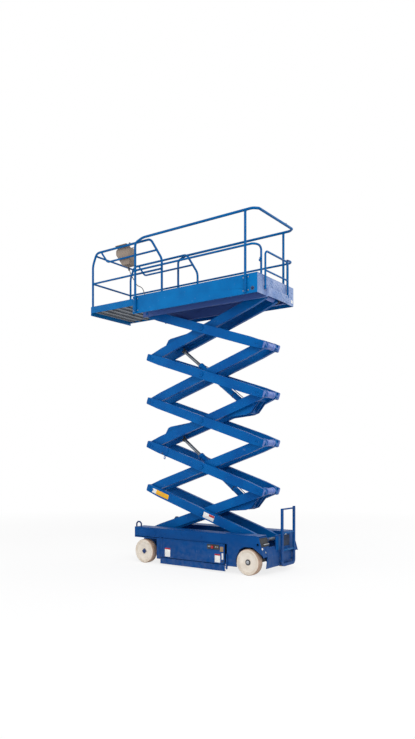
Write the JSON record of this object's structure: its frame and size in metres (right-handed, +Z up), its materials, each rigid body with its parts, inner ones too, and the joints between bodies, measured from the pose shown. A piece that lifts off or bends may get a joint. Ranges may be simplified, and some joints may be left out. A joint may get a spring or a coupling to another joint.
{
  "type": "scissor lift",
  "caption": "Self-propelled scissor lift with a low wheeled base, a stack of crossed arms, twin lift cylinders and a railed platform with a roll-out deck, drawn raised.",
  "frame": {"origin": "floor level at the middle of the overall box, with the roll-out deck extended", "axes": "+X forward to the steered wheels and roll-out deck, +Y to the machine's left, +Z up"},
  "size_m": [3.747, 1.2496, 5.621],
  "materials": {
    "navy_paint": "satin navy paint",
    "blue_paint": "satin blue paint",
    "end_paint": "pale blue-violet paint, tread sheet",
    "dark_metal": "dark machinery paint",
    "steel": "bare steel",
    "cream_tyre": "pale non-marking solid rubber",
    "deck_grey": "worn grey deck sheet",
    "tan_plastic": "taupe moulded plastic",
    "black_plastic": "matt black plastic",
    "battery": "dark battery cases",
    "white_nylon": "white nylon"
  },
  "bodies": {
    "base": {"chassis_frame": "navy_paint", "rear_shell": "navy_paint", "battery_blocks": "battery", "ladder": "navy_paint", "tie_down_loops": "navy_paint", "front_axle": "dark_metal", "rear_axle": "dark_metal"},
    "door_left": {"door_left": "navy_paint", "ground_panel": "black_plastic"},
    "door_right": {"door_right": "navy_paint"},
    "guard_left": {"guard_left": "navy_paint"},
    "guard_right": {"guard_right": "navy_paint"},
    "knuckle_left": {"knuckle_left": "dark_metal"},
    "knuckle_right": {"knuckle_right": "dark_metal"},
    "tie_rod": {"tie_rod": "steel"},
    "wheel_front_left": {"tyre_front_left": "cream_tyre", "hub_front_left": "steel"},
    "wheel_front_right": {"tyre_front_right": "cream_tyre", "hub_front_right": "steel"},
    "wheel_rear_left": {"tyre_rear_left": "cream_tyre", "hub_rear_left": "steel"},
    "wheel_rear_right": {"tyre_rear_right": "cream_tyre", "hub_rear_right": "steel"},
    "inner_1": {"inner_arm_1": "blue_paint"},
    "outer_1": {"outer_arm_1": "blue_paint", "base_rollers": "white_nylon"},
    "inner_2": {"inner_arm_2": "blue_paint"},
    "outer_2": {"outer_arm_2": "blue_paint"},
    "inner_3": {"inner_arm_3": "blue_paint"},
    "outer_3": {"outer_arm_3": "blue_paint"},
    "inner_4": {"inner_arm_4": "blue_paint"},
    "outer_4": {"outer_arm_4": "blue_paint"},
    "inner_5": {"inner_arm_5": "blue_paint", "top_rollers": "white_nylon"},
    "outer_5": {"outer_arm_5": "blue_paint"},
    "lower_barrel": {"lower_barrel": "blue_paint"},
    "lower_rod": {"lower_rod": "steel"},
    "upper_barrel": {"upper_barrel": "blue_paint"},
    "upper_rod": {"upper_rod": "steel"},
    "platform": {"deck_frame": "deck_grey", "side_plate_left": "navy_paint", "side_plate_right": "navy_paint", "end_plate": "end_paint", "rail_left": "blue_paint", "rail_right": "blue_paint", "rail_rear": "blue_paint"},
    "gate": {"gate": "blue_paint"},
    "roll_out": {"ext_deck": "deck_grey", "ext_rail_left": "blue_paint", "ext_rail_right": "blue_paint", "ext_rail_front": "blue_paint", "control_box": "tan_plastic", "control_cord": "black_plastic"}
  },
  "joints": [
    {"name": "lift", "type": "hinge", "parent": "base", "child": "inner_1", "pos_m": [0.696, 0, 0.499], "axis": [0, 1, 0], "range_deg": [-14.8, 28.2]},
    {"name": "cross_1", "type": "hinge", "parent": "inner_1", "child": "outer_1", "pos_m": [-0.4533, 0, 0.88534], "axis": [0, 1, 0], "range_deg": [-56.45, 29.65]},
    {"name": "rear_pin_1", "type": "hinge", "parent": "inner_1", "child": "outer_2", "pos_m": [-1.60261, 0, 1.27167], "axis": [0, 1, 0], "range_deg": [-56.45, 29.65]},
    {"name": "cross_2", "type": "hinge", "parent": "outer_2", "child": "inner_2", "pos_m": [-0.4533, 0, 1.65801], "axis": [0, 1, 0], "range_deg": [-29.65, 56.45]},
    {"name": "front_pin_2", "type": "hinge", "parent": "outer_2", "child": "inner_3", "pos_m": [0.696, 0, 2.04435], "axis": [0, 1, 0], "range_deg": [-29.65, 56.45]},
    {"name": "cross_3", "type": "hinge", "parent": "inner_3", "child": "outer_3", "pos_m": [-0.4533, 0, 2.43068], "axis": [0, 1, 0], "range_deg": [-56.45, 29.65]},
    {"name": "rear_pin_3", "type": "hinge", "parent": "inner_3", "child": "outer_4", "pos_m": [-1.60261, 0, 2.81702], "axis": [0, 1, 0], "range_deg": [-56.45, 29.65]},
    {"name": "cross_4", "type": "hinge", "parent": "outer_4", "child": "inner_4", "pos_m": [-0.4533, 0, 3.20336], "axis": [0, 1, 0], "range_deg": [-29.65, 56.45]},
    {"name": "front_pin_4", "type": "hinge", "parent": "outer_4", "child": "inner_5", "pos_m": [0.696, 0, 3.5897], "axis": [0, 1, 0], "range_deg": [-29.65, 56.45]},
    {"name": "cross_5", "type": "hinge", "parent": "inner_5", "child": "outer_5", "pos_m": [-0.4533, 0, 3.97603], "axis": [0, 1, 0], "range_deg": [-56.45, 29.65]},
    {"name": "platform_pin", "type": "hinge", "parent": "outer_5", "child": "platform", "pos_m": [0.696, 0, 4.36237], "axis": [0, 1, 0], "range_deg": [-14.85, 28.25]},
    {"name": "lower_barrel_pin", "type": "hinge", "parent": "inner_1", "child": "lower_barrel", "pos_m": [-1.29049, 0, 1.02328], "axis": [0, 1, 0], "range_deg": [-63.5, 33.35]},
    {"name": "lower_stroke", "type": "slide", "parent": "lower_barrel", "child": "lower_rod", "axis": [0.7826, 0, 0.6225], "range_m": [-0.4091, 0.7786]},
    {"name": "upper_barrel_pin", "type": "hinge", "parent": "inner_3", "child": "upper_barrel", "pos_m": [-1.29049, 0, 2.56862], "axis": [0, 1, 0], "range_deg": [-63.5, 33.35]},
    {"name": "upper_stroke", "type": "slide", "parent": "upper_barrel", "child": "upper_rod", "axis": [0.7826, 0, 0.6225], "range_m": [-0.4091, 0.7786]},
    {"name": "steer", "type": "hinge", "parent": "base", "child": "knuckle_left", "pos_m": [0.5345, 0.398, 0.2], "axis": [0, 0, 1], "range_deg": [-35, 35]},
    {"name": "steer_right", "type": "hinge", "parent": "base", "child": "knuckle_right", "pos_m": [0.5345, -0.398, 0.2], "axis": [0, 0, 1], "range_deg": [-35, 35]},
    {"name": "tie_rod_pin", "type": "hinge", "parent": "knuckle_left", "child": "tie_rod", "pos_m": [0.3845, 0.398, 0.17], "axis": [0, 0, 1], "range_deg": [-35, 35]},
    {"name": "spin_front_left", "type": "hinge", "parent": "knuckle_left", "child": "wheel_front_left", "pos_m": [0.5345, 0.5225, 0.203], "axis": [0, 1, 0], "continuous": true},
    {"name": "spin_front_right", "type": "hinge", "parent": "knuckle_right", "child": "wheel_front_right", "pos_m": [0.5345, -0.5225, 0.203], "axis": [0, 1, 0], "continuous": true},
    {"name": "spin_rear_left", "type": "hinge", "parent": "base", "child": "wheel_rear_left", "pos_m": [-1.5605, 0.5225, 0.203], "axis": [0, 1, 0], "continuous": true},
    {"name": "spin_rear_right", "type": "hinge", "parent": "base", "child": "wheel_rear_right", "pos_m": [-1.5605, -0.5225, 0.203], "axis": [0, 1, 0], "continuous": true},
    {"name": "door_left_hinge", "type": "hinge", "parent": "base", "child": "door_left", "pos_m": [0.163, 0.575, 0.3], "axis": [0, 0, -1], "range_deg": [0, 100]},
    {"name": "door_right_hinge", "type": "hinge", "parent": "base", "child": "door_right", "pos_m": [0.163, -0.575, 0.3], "axis": [0, 0, 1], "range_deg": [0, 100]},
    {"name": "guard_left_fold", "type": "hinge", "parent": "base", "child": "guard_left", "pos_m": [-0.513, 0.568, 0.116], "axis": [-1, 0, 0], "range_deg": [0, 75]},
    {"name": "guard_right_fold", "type": "hinge", "parent": "base", "child": "guard_right", "pos_m": [-0.513, -0.568, 0.116], "axis": [1, 0, 0], "range_deg": [0, 75]},
    {"name": "roll_out", "type": "slide", "parent": "platform", "child": "roll_out", "axis": [1, 0, 0], "range_m": [-1.03, 0]},
    {"name": "gate_swing", "type": "hinge", "parent": "platform", "child": "gate", "pos_m": [-1.758, -0.34, 4.66237], "axis": [0, 0, 1], "range_deg": [0, 95]}
  ],
  "couplings": [
    {"joint": "cross_1", "follows": "lift", "ratio": -2},
    {"joint": "rear_pin_1", "follows": "lift", "ratio": -2},
    {"joint": "cross_2", "follows": "lift", "ratio": 2},
    {"joint": "front_pin_2", "follows": "lift", "ratio": 2},
    {"joint": "cross_3", "follows": "lift", "ratio": -2},
    {"joint": "rear_pin_3", "follows": "lift", "ratio": -2},
    {"joint": "cross_4", "follows": "lift", "ratio": 2},
    {"joint": "front_pin_4", "follows": "lift", "ratio": 2},
    {"joint": "cross_5", "follows": "lift", "ratio": -2},
    {"joint": "platform_pin", "follows": "lift", "ratio": 1},
    {"joint": "lower_barrel_pin", "follows": "lift", "ratio": -2.25},
    {"joint": "lower_stroke", "follows": "lift", "m_per_rad": 1.58},
    {"joint": "upper_barrel_pin", "follows": "lift", "ratio": -2.25},
    {"joint": "upper_stroke", "follows": "lift", "m_per_rad": 1.58},
    {"joint": "steer_right", "follows": "steer", "ratio": 1},
    {"joint": "tie_rod_pin", "follows": "steer", "ratio": -1}
  ]
}
